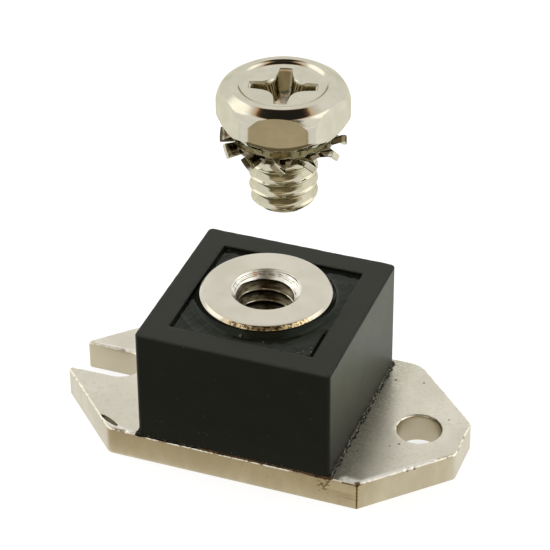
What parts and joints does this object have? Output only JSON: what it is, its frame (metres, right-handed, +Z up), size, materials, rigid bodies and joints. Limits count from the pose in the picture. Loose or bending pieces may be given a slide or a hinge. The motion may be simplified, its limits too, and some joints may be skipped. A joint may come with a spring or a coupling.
{
  "type": "single-diode power module with screw terminal",
  "caption": "Black square rectifier diode module on a nickel-plated base plate with a mounting hole and a slot, a threaded round terminal, and its loose terminal screw above.",
  "frame": {"origin": "centre of the base plate's underside", "axes": "+X along the plate towards its closed mounting hole, +Y across it, +Z up through the terminal; the open slot is on -X"},
  "size_m": [0.0388, 0.0195, 0.0376],
  "materials": {
    "nickel_plate": "satin electroless nickel over stamped copper",
    "nickel_terminal": "satin nickel over turned brass",
    "bright_nickel_steel": "bright nickel plate over cold-headed steel",
    "nickel_spring_steel": "bright nickel plate over stamped spring steel",
    "case_plastic": "moulded black glass-filled plastic, fine matt",
    "black_glue": "cured black epoxy, uneven",
    "potting_resin": "cured black epoxy, glossy poured surface",
    "soft_gel": "clear soft silicone gel, closed in",
    "solder": "high-lead solder layer",
    "molybdenum": "lapped molybdenum",
    "silicon": "polished silicon with metallised faces",
    "copper": "bare soft copper ribbon"
  },
  "bodies": {
    "root": {"base_plate": "nickel_plate", "base_solder": "solder", "lower_buffer_plate": "molybdenum", "die_solder": "solder", "silicon_die": "silicon", "anode_solder": "solder", "upper_buffer_plate": "molybdenum", "strap_solder": "solder", "terminal_solder": "solder", "anode_strap": "copper", "threaded_terminal": "nickel_terminal", "case": "case_plastic", "case_adhesive": "black_glue", "silicone_gel": "soft_gel", "potting_epoxy": "potting_resin", "terminal_screw": "bright_nickel_steel", "lock_washer": "nickel_spring_steel"}
  },
  "joints": []
}
